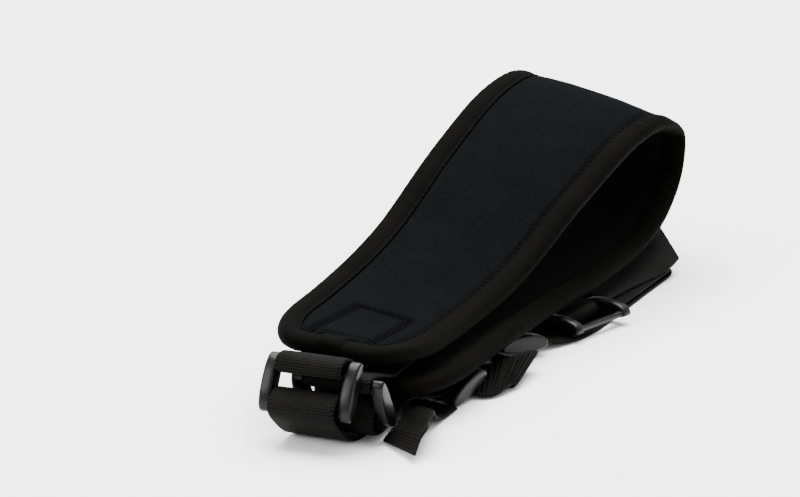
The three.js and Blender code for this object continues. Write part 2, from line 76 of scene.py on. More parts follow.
# Rows are x, y, z, heading, lean. The two tabs start with stops sewn along the pad.
TAB_UPPER = {"stops": (42, 28, 14, 3), "way": -1, "free": [
    (-1.4, -10, 27.0), (-1.2, -14.0, 29.6), (-1.2, -18.0, 31.0), (-1.2, -21.4, 30.6),
    (-1.2, -23.3, 28.6), (-1.2, -23.2, 26.6), (-1.2, -21.2, 25.5), (-1.2, -17.6, 25.4)]}
TAB_LOWER = {"stops": (517, 524, 531, 538), "way": 1, "free": [
    (5.6, -4, 22.3), (6.2, -9.5, 23.8), (6.2, -13.6, 24.2), (6.2, -16.0, 23.0),
    (6.2, -16.2, 20.8), (6.2, -14.0, 19.3), (6.2, -9, 18.2), (5.0, -4.2, 16.4, 3),
    (4.0, -1.6, 13.8, 7), (3.4, -0.5, 10.8, 9)]}
STRAP_UPPER = [
    (-1.2, -18.2, 9.0), (-1.2, -18.5, 12.4), (-1.2, -19.1, 15.6), (-1.2, -20.4, 18.4),
    (-1.2, -22.8, 19.6), (-1.2, -25.8, 19.1), (-1.2, -28.4, 17.4), (-1.2, -29.7, 15.0),
    (-1.2, -28.7, 12.2), (-1.2, -25.6, 9.1), (-1.1, -21.4, 5.6), (-0.9, -16.8, 2.6),
    (-0.6, -11.5, 1.05), (-0.3, -4, 0.75), (-3, 30, 0.75), (-6, 70, 0.75), (-6, 100, 0.75),
    (-6, 122, 0.75), (-5.6, 130, 0.95, -6), (-2.5, 138, 1.7, -30), (5.5, 146.0, 3.8, -62),
    (14.2, 148.4, 5.8, -92), (21.2, 146.5, 7.2, -104), (26.7, 144.9, 7.2, -105),
    (30.2, 144.0, 7.1, -105), (32.4, 143.4, 6.2, -105), (33.1, 143.2, 4.5, -105),
    (32.4, 143.4, 2.95, -105), (30.2, 144.0, 2.4, -105), (26.5, 145.0, 2.5, -105),
    (19.7, 146.8, 2.6, -105)]
STRAP_LOWER = [
    (6.2, -3.6, 8.2), (6.2, -4.6, 11.0), (6.2, -6.2, 13.2), (6.2, -8.4, 14.1),
    (6.2, -10.9, 13.2), (6.2, -13.1, 10.0), (6.2, -13.6, 6.8), (6.2, -12.0, 4.2),
    (6.2, -8.0, 3.0), (6.2, -2, 3.4), (6.2, 4, 5.8), (6.6, 11, 7.8, -1), (7.6, 18, 8.2, -4),
    (9.2, 25, 7.0, -9), (10.4, 30.5, 5.6, -11), (11.2, 34.8, 4.9, -12),
    (12.0, 39.6, 5.1, -12, -3), (12.8, 43.3, 6.4, -12, -3), (13.7, 47.5, 7.9, -12, -3),
    (14.6, 51.7, 9.5, -12, -3), (15.2, 54.3, 10.3, -12, -3), (15.8, 57.2, 9.5, -12, -2),
    (15.7, 57.2, 7.3, -12), (15.4, 55.6, 6.0, -12, 2), (14.9, 52.6, 5.2, -12, 2),
    (14.2, 49.2, 4.4, -12, 2)]
STRAP_MIDDLE = [
    (5.4, 91.4, 3.8, -33), (8.0, 95.6, 6.6, -33), (10.7, 99.9, 7.7, -33),
    (15.3, 107, 7.5, -33), (19.5, 113.5, 7.1, -33), (22.0, 117.4, 4.8, -32),
    (24.0, 121.6, 2.4, -27), (26.8, 128.6, 1.2, -18), (28.6, 140, 0.75, -8), (28.9, 165, 0.75),
    (28.8, 195, 0.75), (28.9, 211, 0.75), (28.9, 219.5, 0.75), (28.9, 223.4, 1.0),
    (28.9, 224.7, 1.95), (28.9, 223.4, 2.9), (28.9, 219.5, 3.15), (28.6, 195, 3.0),
    (28.2, 172, 3.0)]
# Bands that twist are given by both edges: left x, y, z, then right x, y, z.
STRAP_TAIL = [
    (19.9, -8.1, 0.7, 38.9, -24.2, 3.2), (20.0, -1.0, 2.3, 38.1, -17.6, 7.0),
    (20.5, 3.5, 3.8, 38.4, -12.9, 9.0), (19.0, 9.0, 5.0, 36.7, -7.6, 9.4),
    (15.8, 15.5, 5.6, 34.8, 0.4, 9.2), (12.0, 21.0, 5.2, 32.5, 6.6, 8.0),
    (8.9, 24.6, 4.0, 31.0, 11.8, 4.4), (6.4, 27.6, 2.9, 30.2, 19.5, 1.4),
    (5.2, 30.0, 2.5, 29.9, 26.0, 0.9), (5.0, 34.0, 2.5, 29.9, 33.0, 0.9)]
STRAP_LOOP = [
    (18.0, 69.4, 4.2, 28.5, 46.8, 2.05), (23.2, 70.6, 5.1, 32.0, 47.5, 1.6),
    (27.4, 72.8, 6.0, 34.9, 49.0, 1.2), (31.7, 76.6, 7.4, 37.2, 52.2, 1.7),
    (35.1, 81.4, 8.2, 38.6, 56.8, 2.5), (37.4, 85.8, 8.3, 39.2, 61.2, 2.7),
    (38.0, 87.8, 7.3, 39.3, 63.4, 1.9), (36.2, 87.4, 6.0, 37.7, 62.9, 1.0),
    (31.5, 86.0, 4.6, 33.8, 61.3, 0.8), (26.8, 89.5, 3.2, 31.6, 65.0, 0.75),
    (22.0, 94.0, 1.7, 29.4, 70.2, 0.75), (17.6, 97.6, 0.9, 27.3, 74.6, 0.75),
    (14.0, 100.0, 0.75, 25.4, 77.8, 0.75)]
STRAP_FAR_END = [
    (11.0, 171.5, 6.4, 35.6, 168.0, 4.9), (13.7, 193.5, 6.9, 38.3, 190.0, 4.8),
    (16.1, 208.3, 8.7, 40.6, 205.0, 4.8), (18.0, 217.6, 10.6, 42.0, 213.5, 5.0),
    (20.6, 227.8, 12.6, 42.8, 219.0, 5.3), (23.4, 237.5, 14.5, 42.8, 224.5, 5.7),
    (26.3, 246.5, 15.4, 42.4, 229.6, 6.0)]
SLIDERS = {   # x, y, z, heading, tilt, pitch
    "slider_1": (-1.2, -20.8, 20.8, 0, 0, 61), "slider_2": (6.2, -10.2, 15.0, 0, 0, 120),
    "slider_3": (13.8, 47.8, 5.5, -12, -3, 20), "slider_4": (15.3, 107.0, 5.1, -33, 0, -2),
    "slider_5": (34.6, 142.8, 4.5, -105, 0, 0)}

# %% [markdown]
# ## Smooth lines
# Every route is a centripetal Catmull-Rom line, which passes through each row and doesn't loop
# between rows that lie close together. The same small function serves places and angles.

# %% Lines through rows
def knot_step(a, b):
    """The root of the distance between places, which spaces a centripetal line."""
    return np.maximum(np.linalg.norm(b - a, axis=1, keepdims=True), 1e-6) ** 0.5


def spline(points, t, centripetal=True):
    """Places on the line through points at t from 0 to 1."""
    points = np.asarray(points, float)
    spans = len(points) - 1
    place = np.clip(np.asarray(t, float), 0, 1) * spans
    i = np.minimum(place.astype(int), spans - 1)
    w = (place - i)[:, None]
    padded = np.vstack([2 * points[0] - points[1], points, 2 * points[-1] - points[-2]])
    p0, p1, p2, p3 = (padded[i + k] for k in range(4))
    if centripetal:
        d0, d1, d2 = knot_step(p0, p1), knot_step(p1, p2), knot_step(p2, p3)
        m1 = ((p1 - p0) / d0 - (p2 - p0) / (d0 + d1) + (p2 - p1) / d1) * d1
        m2 = ((p2 - p1) / d1 - (p3 - p1) / (d1 + d2) + (p3 - p2) / d2) * d1
    else:
        m1 = (p2 - p0) / 2
        m2 = (p3 - p1) / 2
    c2 = 3 * (p2 - p1) - 2 * m1 - m2
    c3 = 2 * (p1 - p2) + m1 + m2
    return p1 + m1 * w + c2 * w ** 2 + c3 * w ** 3


NUDGE = 1e-4   # a small step along a line, for finding its direction


def unit(v):
    return v / np.linalg.norm(v, axis=-1, keepdims=True)


def direction(points, t):
    """Which way the line through points runs at t."""
    return unit(spline(points, t + NUDGE) - spline(points, t - NUDGE))


def travelled(places):
    """How far along a run of places each one lies, from the first."""
    return np.r_[0, np.cumsum(np.linalg.norm(np.diff(places, axis=0), axis=1))]


def frames(rows, t):
    """Point, width direction and face direction at t along rows of x, y, z, heading, lean."""
    rows = np.array([tuple(row) + (0,) * (5 - len(row)) for row in rows], float)
    point = spline(rows[:, :3], t)
    along = direction(rows[:, :3], t)
    heading, lean = np.radians(spline(rows[:, 3:], t, centripetal=False)).T
    across = np.stack([np.cos(heading), np.sin(heading), 0 * heading], axis=1)
    across = unit(across - (across * along).sum(1, keepdims=True) * along)
    turned = np.cross(along, across)
    across = across * np.cos(lean)[:, None] - turned * np.sin(lean)[:, None]
    return point, across, np.cross(across, along)


FINE = np.linspace(0, 1, 4001)
PAD_ROWS = [(x, y, z, 0, lean) for x, y, z, lean in PAD_LINE]
pad_point, pad_across, pad_face = frames(PAD_ROWS, FINE)
pad_distance = travelled(pad_point)
pad_lean = spline(np.array(PAD_ROWS)[:, 3:], FINE, centripetal=False)[:, 1]
pad_stretch = pad_distance[-1] / PAD["length"]


def bend(along, across, out):
    """Takes places on the flat pad to where they lie on the folded pad."""
    along, across, out = np.broadcast_arrays(along, across, out)
    distance = np.clip(along * pad_stretch, 0, pad_distance[-1])

    def at(table):
        columns = [np.interp(distance, pad_distance, table[:, k]) for k in range(3)]
        return np.stack(columns, -1)

    return at(pad_point) + at(pad_across) * across[..., None] + at(pad_face) * out[..., None]


print(f"pad line {pad_distance[-1]:.1f} mm for a pad of {PAD['length']:.0f} mm")

# %% [markdown]
# ## Mesh helpers
# Nearly every piece here is a ring of points carried along a route. One helper turns a block of
# rings into a closed mesh with a UV map in metres, so that a weave keeps its real scale.

# %% Objects and values
def new_object(name, data):
    made = bpy.data.objects.new(name, data)
    bpy.context.scene.collection.objects.link(made)
    return made


def plain_mesh(piece):
    """The piece's mesh with its modifiers applied."""
    depsgraph = bpy.context.evaluated_depsgraph_get()
    return bpy.data.meshes.new_from_object(piece.evaluated_get(depsgraph))


def keep_value(mesh, name, values):
    """Keeps a number for each vertex, which a material or a node tree reads by name."""
    mesh.attributes.new(name, "FLOAT", "POINT").data.foreach_set("value", values)


# %% Meshes from rings
def new_piece(name, vertices, faces, uvs=None, edges=()):
    """A mesh object at the origin. vertices are drawing millimetres; uvs is one pair per corner."""
    mesh = bpy.data.meshes.new(name)
    placed = (np.asarray(vertices, float) + TABLE_SHIFT) * MM
    mesh.from_pydata(placed.tolist(), edges, faces)
    if uvs is not None:
        layer = mesh.uv_layers.new(name="UVMap")
        layer.data.foreach_set("uv", (np.asarray(uvs, float) * MM).ravel())
    mesh.shade_smooth()
    return new_object(name, mesh)


def ring_faces(count, size, closed):
    """Quads between rings, and for each corner its ring and its step round the ring."""
    faces, corners = [], []
    for i in range(count if closed else count - 1):
        for j in range(size):
            a, b = i * size + j, i * size + (j + 1) % size
            c, d = ((i + 1) % count) * size + (j + 1) % size, ((i + 1) % count) * size + j
            faces.append((a, b, c, d))
            corners += [(i, j), (i, j + 1), (i + 1, j + 1), (i + 1, j)]
    return faces, corners


def end_faces(count, size):
    """The two faces that close a run of rings at its ends."""
    return [tuple(range(size)), tuple(range((count - 1) * size, count * size))[::-1]]


def turned_out(piece):
    """Recalculates the normals of a closed mesh so that they point outwards."""
    work = bmesh.new()
    work.from_mesh(piece.data)
    bmesh.ops.recalc_face_normals(work, faces=work.faces)
    work.to_mesh(piece.data)
    work.free()
    return piece


def sharpen(mesh, degrees):
    """Keeps edges sharper than this angle crisp under smooth shading."""
    work = bmesh.new()
    work.from_mesh(mesh)
    limit = math.radians(degrees)
    for edge in work.edges:
        edge.smooth = edge.calc_face_angle(0) < limit
    work.to_mesh(mesh)
    work.free()


def triangles(piece):
    return sum(len(face.vertices) - 2 for face in piece.data.polygons)


# %% [markdown]
# ## Soft noise
# Cloth is never even. This seeded noise gives slow, repeatable waviness to seams and faces.

# %% Seeded waves
def waves(x, seed, pitch, count=5):
    """Smooth noise in one direction: a few sine waves of mixed length, about -1 to 1."""
    draw = np.random.default_rng(seed)
    total = 0
    for _ in range(count):
        length = pitch * draw.uniform(0.7, 1.6)
        total = total + draw.uniform(0.5, 1) * np.sin(2 * np.pi * (x / length + draw.random()))
    return total / count ** 0.5


def bump(x, low, high, soft):
    """1 between low and high, falling smoothly to 0 over soft outside them."""
    rise = np.clip((x - low) / soft + 1, 0, 1)
    fall = np.clip((high - x) / soft + 1, 0, 1)
    return (rise * rise * (3 - 2 * rise)) * (fall * fall * (3 - 2 * fall))


# %% [markdown]
# ## The pad's outline
# The flat pad is a long lozenge with a short straight edge at each end, rounded corners and
# gently swelling sides. The outline is a closed run of places, so the pad's faces and the tape
# share the same steps and always meet.

# %% Outline places
CORNER_STEPS = 18
SIDE_STEPS = 330
END_STEPS = 40


def side_places(inset):
    """Places down the right side, from the upper end to the lower end."""
    turn = np.linspace(0, np.pi / 2, CORNER_STEPS, endpoint=False)
    rise = PAD["corner_half_width"] - PAD["end_half_width"] - inset
    corner_along = PAD["corner_length"] - (PAD["corner_length"] - inset) * np.cos(turn)
    corner_across = PAD["end_half_width"] + rise * np.sin(turn)
    share = np.linspace(0, 1, SIDE_STEPS + 1)
    side_along = PAD["corner_length"] + (PAD["length"] / 2 - PAD["corner_length"]) * share
    swell = np.sin(share * np.pi / 2) ** 2
    widths = PAD["middle_half_width"] - PAD["corner_half_width"]
    side_across = PAD["corner_half_width"] + widths * swell - inset
    along = np.r_[corner_along, side_along]
    across = np.r_[corner_across, side_across]
    return np.r_[along, PAD["length"] - along[-2::-1]], np.r_[across, across[-2::-1]]


def loop_places(inset):
    """The whole outline: right side, lower end, left side, upper end."""
    along, across = side_places(inset)
    end = np.linspace(1, -1, END_STEPS + 1)[1:-1]
    low, high = along[0], along[-1]
    return (np.r_[along, np.full(len(end), high), along[::-1], np.full(len(end), low)],
            np.r_[across, across[-1] * end, -across[::-1], -across[0] * end])


edge_along, edge_across = loop_places(0)
edge_steps = np.hypot(*(np.roll(a, -1) - a for a in (edge_along, edge_across)))
edge_distance = np.r_[0, np.cumsum(edge_steps)]
SIDE_COUNT = len(side_places(0)[0])
print(f"outline {edge_distance[-1]:.0f} mm round, {len(edge_along)} places")

# %% [markdown]
# ## The pad
# Foam between two cloth faces: full in the middle, drawn down where the tape holds its edge, and
# pressed into a groove by the box of stitches that holds each tab. Where the pad folds, its
# inner face is too long and gathers into soft ripples. A cloth simulation could fill it. Here it
# is made directly as one closed skin, because its curve is set by the fold and its edge by the
# tape.

# %% The pad's faces
STITCH_BOX = {"low": 8.0, "high": 45.0, "half_width": 11.7, "taper": 1.4, "lean": 2.4,
              "groove": 1.2, "width": 1.7, "quilt": 0.15, "quilt_reach": 6}
FOLD = {"at": 262.0, "reach": 22, "soft": 30, "ripple": 0.32, "ripple_pitch": 9}
CROWN = {"height": 0.6, "low": 110, "high": 235, "soft": 60, "inset": 26, "side_soft": 14}
# How far a face stands out from the pad's middle layer, by how far in it is from the edge.
FACE_INSET = [0, 9.1, 9.5, 10.2, 11.6, 15, 30]
FACE_RISE = [1.6, 1.65, 2.1, 2.6, 2.95, 3.2, 3.45]
FAR_IN = 60   # further in than any place on the pad


def box_sides(along):
    """The stitched box's middle and half width: hand-sewn, it leans and narrows a little."""
    share = np.clip((along - STITCH_BOX["low"]) / (STITCH_BOX["high"] - STITCH_BOX["low"]), 0, 1)
    return STITCH_BOX["lean"] * share, STITCH_BOX["half_width"] - STITCH_BOX["taper"] * share


def box_distance(along, across):
    """How far a place is from the line of the nearer end's stitched box."""
    along = np.minimum(along, PAD["length"] - along)
    box_middle, half_width = box_sides(along)
    dx = np.abs(across - box_middle) - half_width
    middle = (STITCH_BOX["low"] + STITCH_BOX["high"]) / 2
    dy = np.abs(along - middle) - (STITCH_BOX["high"] - STITCH_BOX["low"]) / 2
    outside = np.hypot(np.maximum(dx, 0), np.maximum(dy, 0))
    return np.abs(outside + np.minimum(np.maximum(dx, dy), 0))


def box_groove(along, across):
    """1 on the line of the stitched box, falling to 0 beside it."""
    return np.exp(-(box_distance(along, across) / STITCH_BOX["width"]) ** 2)


def pad_height(along, across, inset, side):
    """How far the face stands out from the pad's middle layer. side is 1 outside, -1 inside."""
    groove = box_groove(along, across) * STITCH_BOX["groove"]
    near = bump(box_distance(along, across), -1, 0, STITCH_BOX["quilt_reach"])
    clear_of_tape = inset > TAPE_WIDTH
    height = np.interp(inset, FACE_INSET, FACE_RISE)
    height = height - (groove - near * STITCH_BOX["quilt"]) * clear_of_tape
    if side > 0:
        crown = bump(along, CROWN["low"], CROWN["high"], CROWN["soft"])
        height = height + CROWN["height"] * crown * bump(inset, CROWN["inset"], FAR_IN,
                                                         CROWN["side_soft"])
    else:
        fold = bump(along, FOLD["at"] - FOLD["reach"], FOLD["at"] + FOLD["reach"], FOLD["soft"])
        ripple = waves(along + 3 * np.sin(across / 17), 4, FOLD["ripple_pitch"]) - 0.4
        height = height + FOLD["ripple"] * fold * ripple * bump(inset, 11, FAR_IN, 2)
    slow = waves(along, 11, 60) * 0.10 + waves(across * 1.3 + along * 0.2, 12, 33) * 0.05
    return height + slow * bump(inset, 12, FAR_IN, 4)


# %% The pad's skin
PAD_INSETS = [13.0, 11.6, 10.7, 10.2, 9.8, 9.5, 9.1, 6.0, 2.2]


def bordered_grid(ring):
    """A grid of vertex numbers over a face, with its border taken from the ring round it."""
    corner = SIDE_COUNT + END_STEPS - 1
    grid = np.zeros((SIDE_COUNT, END_STEPS + 1), int)
    grid[:, 0] = ring[:SIDE_COUNT]
    grid[-1, 1:-1] = ring[SIDE_COUNT:corner]
    grid[:, -1] = ring[corner:corner + SIDE_COUNT][::-1]
    grid[0, 1:-1] = ring[corner + SIDE_COUNT:][::-1]
    return grid


def pad_skin():
    """The pad as one closed mesh: rings round its edge, and a grid over each face."""
    loops = [loop_places(inset) for inset in PAD_INSETS]
    size = len(loops[0][0])
    columns = np.linspace(1, -1, END_STEPS + 1)
    side_along, side_across = (run[1:-1] for run in side_places(PAD_INSETS[0]))
    vertices, places, faces = [], [], []

    def add_level(along, across, inset, side):
        first = len(places)
        height = side * pad_height(along, across, inset, side)
        vertices.extend(bend(along, across, height))
        places.extend(zip(across, along))
        return np.arange(first, first + len(along))

    levels = list(zip(loops, PAD_INSETS))
    rings = [add_level(*loop, inset, 1) for loop, inset in levels]
    rings += [add_level(*loop, inset, -1) for loop, inset in levels[::-1]]
    for upper, lower in zip(rings, rings[1:]):
        for j in range(size):
            k = (j + 1) % size
            faces.append((upper[j], lower[j], lower[k], upper[k]))
    for ring, side in ((rings[0], 1), (rings[-1], -1)):
        grid = bordered_grid(ring)
        for column in range(1, END_STEPS):
            across = side_across * columns[column]
            inset = PAD_INSETS[0] + side_across - np.abs(across)
            grid[1:-1, column] = add_level(side_along, across, inset, side)
        for i in range(SIDE_COUNT - 1):
            for j in range(END_STEPS):
                quad = (grid[i, j], grid[i + 1, j], grid[i + 1, j + 1], grid[i, j + 1])
                faces.append(quad[::side])
    faces = [tuple(int(v) for v in face) for face in faces]
    uvs = [places[v] for face in faces for v in face]
    piece = turned_out(new_piece("pad_cushion", vertices, faces, uvs))
    across, along = np.array(places, float).T
    # The groove line is kept for the pad cloth, which paints shade along it.
    keep_value(piece.data, "groove", box_groove(along, across))
    return piece


pad_cushion = pad_skin()
print(f"pad_cushion: {triangles(pad_cushion)} triangles")

# %% [markdown]
# ## The edge tape
# A folded tape wraps the pad's edge and is sewn through near its inner edges. It is round and
# full at the edge, dips at the seam, and puckers a little between stitches. Round the fold its
# long edge is gathered into short ribs across the tape. Its two ends lap on the pad's upper end.
# A curve's bevel could carry the folded section round. Rings are used, so that puckers and ribs
# can move each place.

# %% The tape's rings
TAPE_FACE = [   # inset, out; from the outer edge to the seam
    (0.0, 0.0), (0.06, 0.6), (0.28, 1.2), (0.7, 1.8), (1.3, 2.3), (2.2, 2.72), (3.3, 2.98),
    (4.5, 3.1), (5.6, 3.08), (6.6, 2.95), (7.3, 2.72), (7.8, 2.5), (8.3, 2.56), (8.8, 2.6),
    (9.15, 2.5), (9.3, 2.2), (9.15, 1.95)]
TAPE_INSIDE = [(7.0, 1.9), (4.0, 1.85), (1.9, 1.5), (1.2, 0.7)]
TAPE_SHOWN = TAPE_FACE[2:15]   # the part of a face that puckers, from the round edge to the seam
LAP = {"start": 8.5, "length": 9.0, "lift": 0.8}
TAPE_FOLD = {"before": 30, "after": 26, "soft": 34, "rib": 0.42, "rib_pitch": 3.1,
             "outer_share": 0.45}
PUCKER = {"close": 0.09, "close_pitch": 6.5, "slow": 0.07, "slow_pitch": 37}


def tape_ring_solid():
    """The tape as one closed ring: its folded section carried all the way round the pad."""
    face = TAPE_FACE + TAPE_INSIDE
    section = face + [(inset, -out) for inset, out in face[:0:-1]]
    s = edge_distance[:-1]
    fold = bump(edge_along, FOLD["at"] - TAPE_FOLD["before"], FOLD["at"] + TAPE_FOLD["after"],
                TAPE_FOLD["soft"])
    loops = []
    for inset, out in section:
        inner = out < 0
        shown = float((inset, abs(out)) in TAPE_SHOWN)
        crest = bump(inset, 1.0, 7.4, 2.0) * shown
        pucker = (PUCKER["close"] * waves(s, 21 + inner, PUCKER["close_pitch"])
                  + PUCKER["slow"] * waves(s, 23 + inner, PUCKER["slow_pitch"]))
        share = 1.0 if inner else TAPE_FOLD["outer_share"]
        ribs = share * TAPE_FOLD["rib"] * (
            waves(s + inset * 0.5, 25 + inner, TAPE_FOLD["rib_pitch"]) - 0.5)
        lap = LAP["lift"] * lap_height(s) * shown * (out > 0)
        height = out + math.copysign(1, out) * (crest * (pucker + fold * ribs) + lap)
        loops.append(bend(*loop_places(inset), height))
    rings = np.stack(loops, axis=1)
    count, size = rings.shape[:2]
    faces, corners = ring_faces(count, size, closed=True)
    widths = np.r_[0, np.cumsum([math.dist(section[j], section[(j + 1) % size])
                                 for j in range(size)])]
    uvs = [(widths[j], edge_distance[i]) for i, j in corners]
    return turned_out(new_piece("edge_tape_binding", rings.reshape(-1, 3), faces, uvs))


def lap_height(s):
    """1 where the tape's end lies over its start, on the upper end just right of the middle."""
    from_end = edge_distance[-1] - s - LAP["start"]
    return ((from_end > 0) & (from_end < LAP["length"])).astype(float)


edge_tape_binding = tape_ring_solid()
print(f"edge_tape_binding: {triangles(edge_tape_binding)} triangles")

# %% [markdown]
# ## Webbing
# Webbing is a flat woven band with rounded, slightly thinner selvedges. Each band keeps its real
# width and thickness along its whole route. A curve with a bevel could make one too. Rings are
# used because they set the width's direction at each row, or both edges where a band twists.

# %% Bands
BAND_STEP = 0.8      # between rings on a plain band
RIBBED_STEP = 0.2    # between rings where ribs stand up
# The cut end is thinner by a share, cap reaches past the last ring, and ribs fade in over fade.
BAND_END = {"share": 0.35, "cap": 0.2, "fade": 0.8}
SELVEDGE = {"from": 0.97, "soft": 0.05}   # shares of the half width
ROUTE = np.linspace(0, 1, 3000)


def band_section(points=13):
    """Places across a band: share of the half width, and share of the half thickness."""
    top = [(v, 1 - 0.12 * abs(v) ** 6) for v in np.linspace(-0.955, 0.955, points)]
    edge = [(0.985, 0.62), (1.0, 0.0), (0.985, -0.62)]
    bottom = [(-v, -h) for v, h in top]
    return np.array(top + edge + bottom + [(-v, -h) for v, h in edge])


def band_solid(name, left, right, lift):
    """A closed band between two edges. lift is the half thickness as a vector at each step."""
    section = band_section()
    middle = (left + right) / 2
    half = (right - left) / 2
    rings = (middle[:, None] + half[:, None] * section[None, :, :1]
             + lift[:, None] * section[None, :, 1:])
    along = travelled(middle)
    first, last = (rings[i] - lift[i] * section[:, 1:] * BAND_END["share"] for i in (0, -1))
    way = unit(middle[[1, -1]] - middle[[0, -2]]) * BAND_END["cap"]
    rings = np.concatenate([[first - way[0]], rings, [last + way[1]]])
    along = np.r_[along[0] - BAND_END["cap"], along, along[-1] + BAND_END["cap"]]
    count, size = rings.shape[:2]
    faces, corners = ring_faces(count, size, closed=False)
    faces += end_faces(count, size)
    corners += [(0, j) for j in range(size)] + [(count - 1, j) for j in range(size)][::-1]
    girth = np.r_[section[:, 0], section[0, 0]] * WEB["width"] / 2
    uvs = [(girth[j], along[i]) for i, j in corners]
    piece = new_piece(name, rings.reshape(-1, 3), faces, uvs)
    keep_value(piece.data, "along", np.repeat(along, size))
    cover = np.clip((SELVEDGE["from"] - np.abs(section[:, 0])) / SELVEDGE["soft"], 0, 1)
    from_end = np.minimum(along - along[0], along[-1] - along)
    fade = np.clip(from_end / BAND_END["fade"], 0, 1)
    keep_value(piece.data, "cover", (fade[:, None] * cover[None]).ravel())
    print(f"{name}: {along[-1] - along[0]:.0f} mm long, {triangles(piece)} triangles")
    return turned_out(piece)


# %% Bands along their routes
def even_steps(places, step):
    """The values of t that walk a route in even steps. places are the route's at ROUTE."""
    distance = travelled(places)
    wanted = np.linspace(0, distance[-1], max(int(distance[-1] / step), 8))
    return np.interp(wanted, distance, ROUTE)


def band_along(name, rows):
    """A band from rows of x, y, z, heading, lean."""
    t = even_steps(frames(rows, ROUTE)[0], BAND_STEP)
    point, across, face = frames(rows, t)
    half = across * WEB["width"] / 2
    return band_solid(name, point - half, point + half, face * WEB["thickness"] / 2)


def band_between(name, rows, step):
    """A band from rows of both edges: left x, y, z, then right x, y, z."""
    rows = np.array(rows, float)
    left_edge = rows[:, :3]
    right_edge = rows[:, 3:]
    t = even_steps((spline(left_edge, ROUTE) + spline(right_edge, ROUTE)) / 2, step)
    left = spline(left_edge, t)
    right = spline(right_edge, t)
    along = direction(left_edge, t) + direction(right_edge, t)
    lift = unit(np.cross(right - left, along)) * WEB["thickness"] / 2
    return band_solid(name, left, right, lift)


def tab_rows(tab):
    """A tab's rows: sewn along the pad's inner face, then free."""
    seat = PAD["half_thickness"] + CLEARANCE + WEB["thickness"] / 2
    rows = []
    for stop in tab["stops"]:
        x, y, z = bend(np.array(float(stop)), 0.0, -seat)
        lean = np.interp(stop * pad_stretch, pad_distance, pad_lean)
        rows.append((x, y, z, 0, tab["way"] * lean))
    return rows + list(tab["free"])


# %% All the webbing
webs = {}
for name, rows in (("tab_upper", tab_rows(TAB_UPPER)), ("tab_lower", tab_rows(TAB_LOWER)),
                   ("strap_upper", STRAP_UPPER), ("strap_lower", STRAP_LOWER),
                   ("strap_middle", STRAP_MIDDLE)):
    webs[name] = band_along(f"{name}_webbing", rows)
for name, rows, step in (("strap_tail", STRAP_TAIL, RIBBED_STEP),
                         ("strap_loop", STRAP_LOOP, RIBBED_STEP),
                         ("strap_far_end", STRAP_FAR_END, BAND_STEP)):
    webs[name] = band_between(f"{name}_webbing", rows, step)

# %% [markdown]
# ## Sliders
# Each slider is one satin plastic moulding: two arched side rails joined by three bars. The rail
# is an oval seen from the side, with rounded edges. One slider is made once, its rails and bars
# joined by a union so that no inner faces are left, and copied into each place.

# %% One moulded slider
RAIL_PLACES = 56
BAR_PLACES = 20
# Along half a bar: how far past the rail's inner face, and how much fuller the bar is there.
BAR_FLARE = [(1.2, 1.2), (0.05, 1.2), (-0.5, 1.06), (-1.4, 1.0)]


def squared_round(count, squareness):
    """A rounded square: at 2 it is a circle, and above that it fills its corners more."""
    turn = np.linspace(0, 2 * np.pi, count, endpoint=False)
    return [np.sign(v) * np.abs(v) ** (2 / squareness) for v in (np.cos(turn), np.sin(turn))]


def oval(inset):
    """A rail's side outline, moved in from its edge: along the slider, and out from it."""
    along, out = squared_round(RAIL_PLACES, SLIDER["squareness"])
    height = np.where(out > 0, SLIDER["crown"] - inset, SLIDER["belly"] - inset)
    return np.stack([along * (SLIDER["length"] / 2 - inset), out * height], axis=1)


def rounded_steps(width, radius, count=5):
    """Stations across a rail: x, and how far the outline moves in, round at both edges."""
    turns = np.linspace(0, math.pi / 2, count)
    edge = [(radius * (1 - math.cos(t)), radius * (1 - math.sin(t))) for t in turns]
    return edge + [(width - x, inset) for x, inset in reversed(edge)]


def loft(name, outlines):
    """A closed bar from outlines of x, y, z in slider millimetres, capped at both ends."""
    rings = np.stack(outlines)
    count, size = rings.shape[:2]
    faces, _ = ring_faces(count, size, closed=False)
    mesh = bpy.data.meshes.new(name)
    mesh.from_pydata(rings.reshape(-1, 3).tolist(), [], faces + end_faces(count, size))
    return turned_out(new_object(name, mesh))


def slider_parts():
    """Two side rails, and the three bars that run between them and a little way into them."""
    parts = []
    inner = SLIDER["width"] / 2 - SLIDER["rail"]
    for hand in (1, -1):
        outlines = [np.c_[np.full(RAIL_PLACES, hand * (inner + x)), oval(inset)]
                    for x, inset in rounded_steps(SLIDER["rail"], SLIDER["edge"])]
        parts.append(loft("rail", outlines))
    bar_y, bar_z = squared_round(BAR_PLACES, SLIDER["bar_squareness"])
    bar_y = bar_y * SLIDER["bar_depth"] / 2
    bar_z = bar_z * SLIDER["bar_thickness"] / 2
    half = [(inner + past, fuller) for past, fuller in BAR_FLARE]
    stations = [(-x, fuller) for x, fuller in half] + half[::-1]
    for from_top in SLIDER["bars_from_top"]:
        middle = SLIDER["length"] / 2 - from_top
        outlines = [np.c_[np.full(BAR_PLACES, x), middle + bar_y * fuller, bar_z * fuller]
                    for x, fuller in stations]
        parts.append(loft("bar", outlines))
    return parts


# %% The slider joined and placed
def joined(parts, name):
    """One closed mesh from overlapping parts."""
    body = parts[0]
    for part in parts[1:]:
        join = body.modifiers.new("join", "BOOLEAN")
        join.operation = "UNION"
        join.solver = "EXACT"
        join.object = part
    mesh = plain_mesh(body)
    mesh.name = name
    for part in parts:
        bpy.data.objects.remove(part)
    return mesh


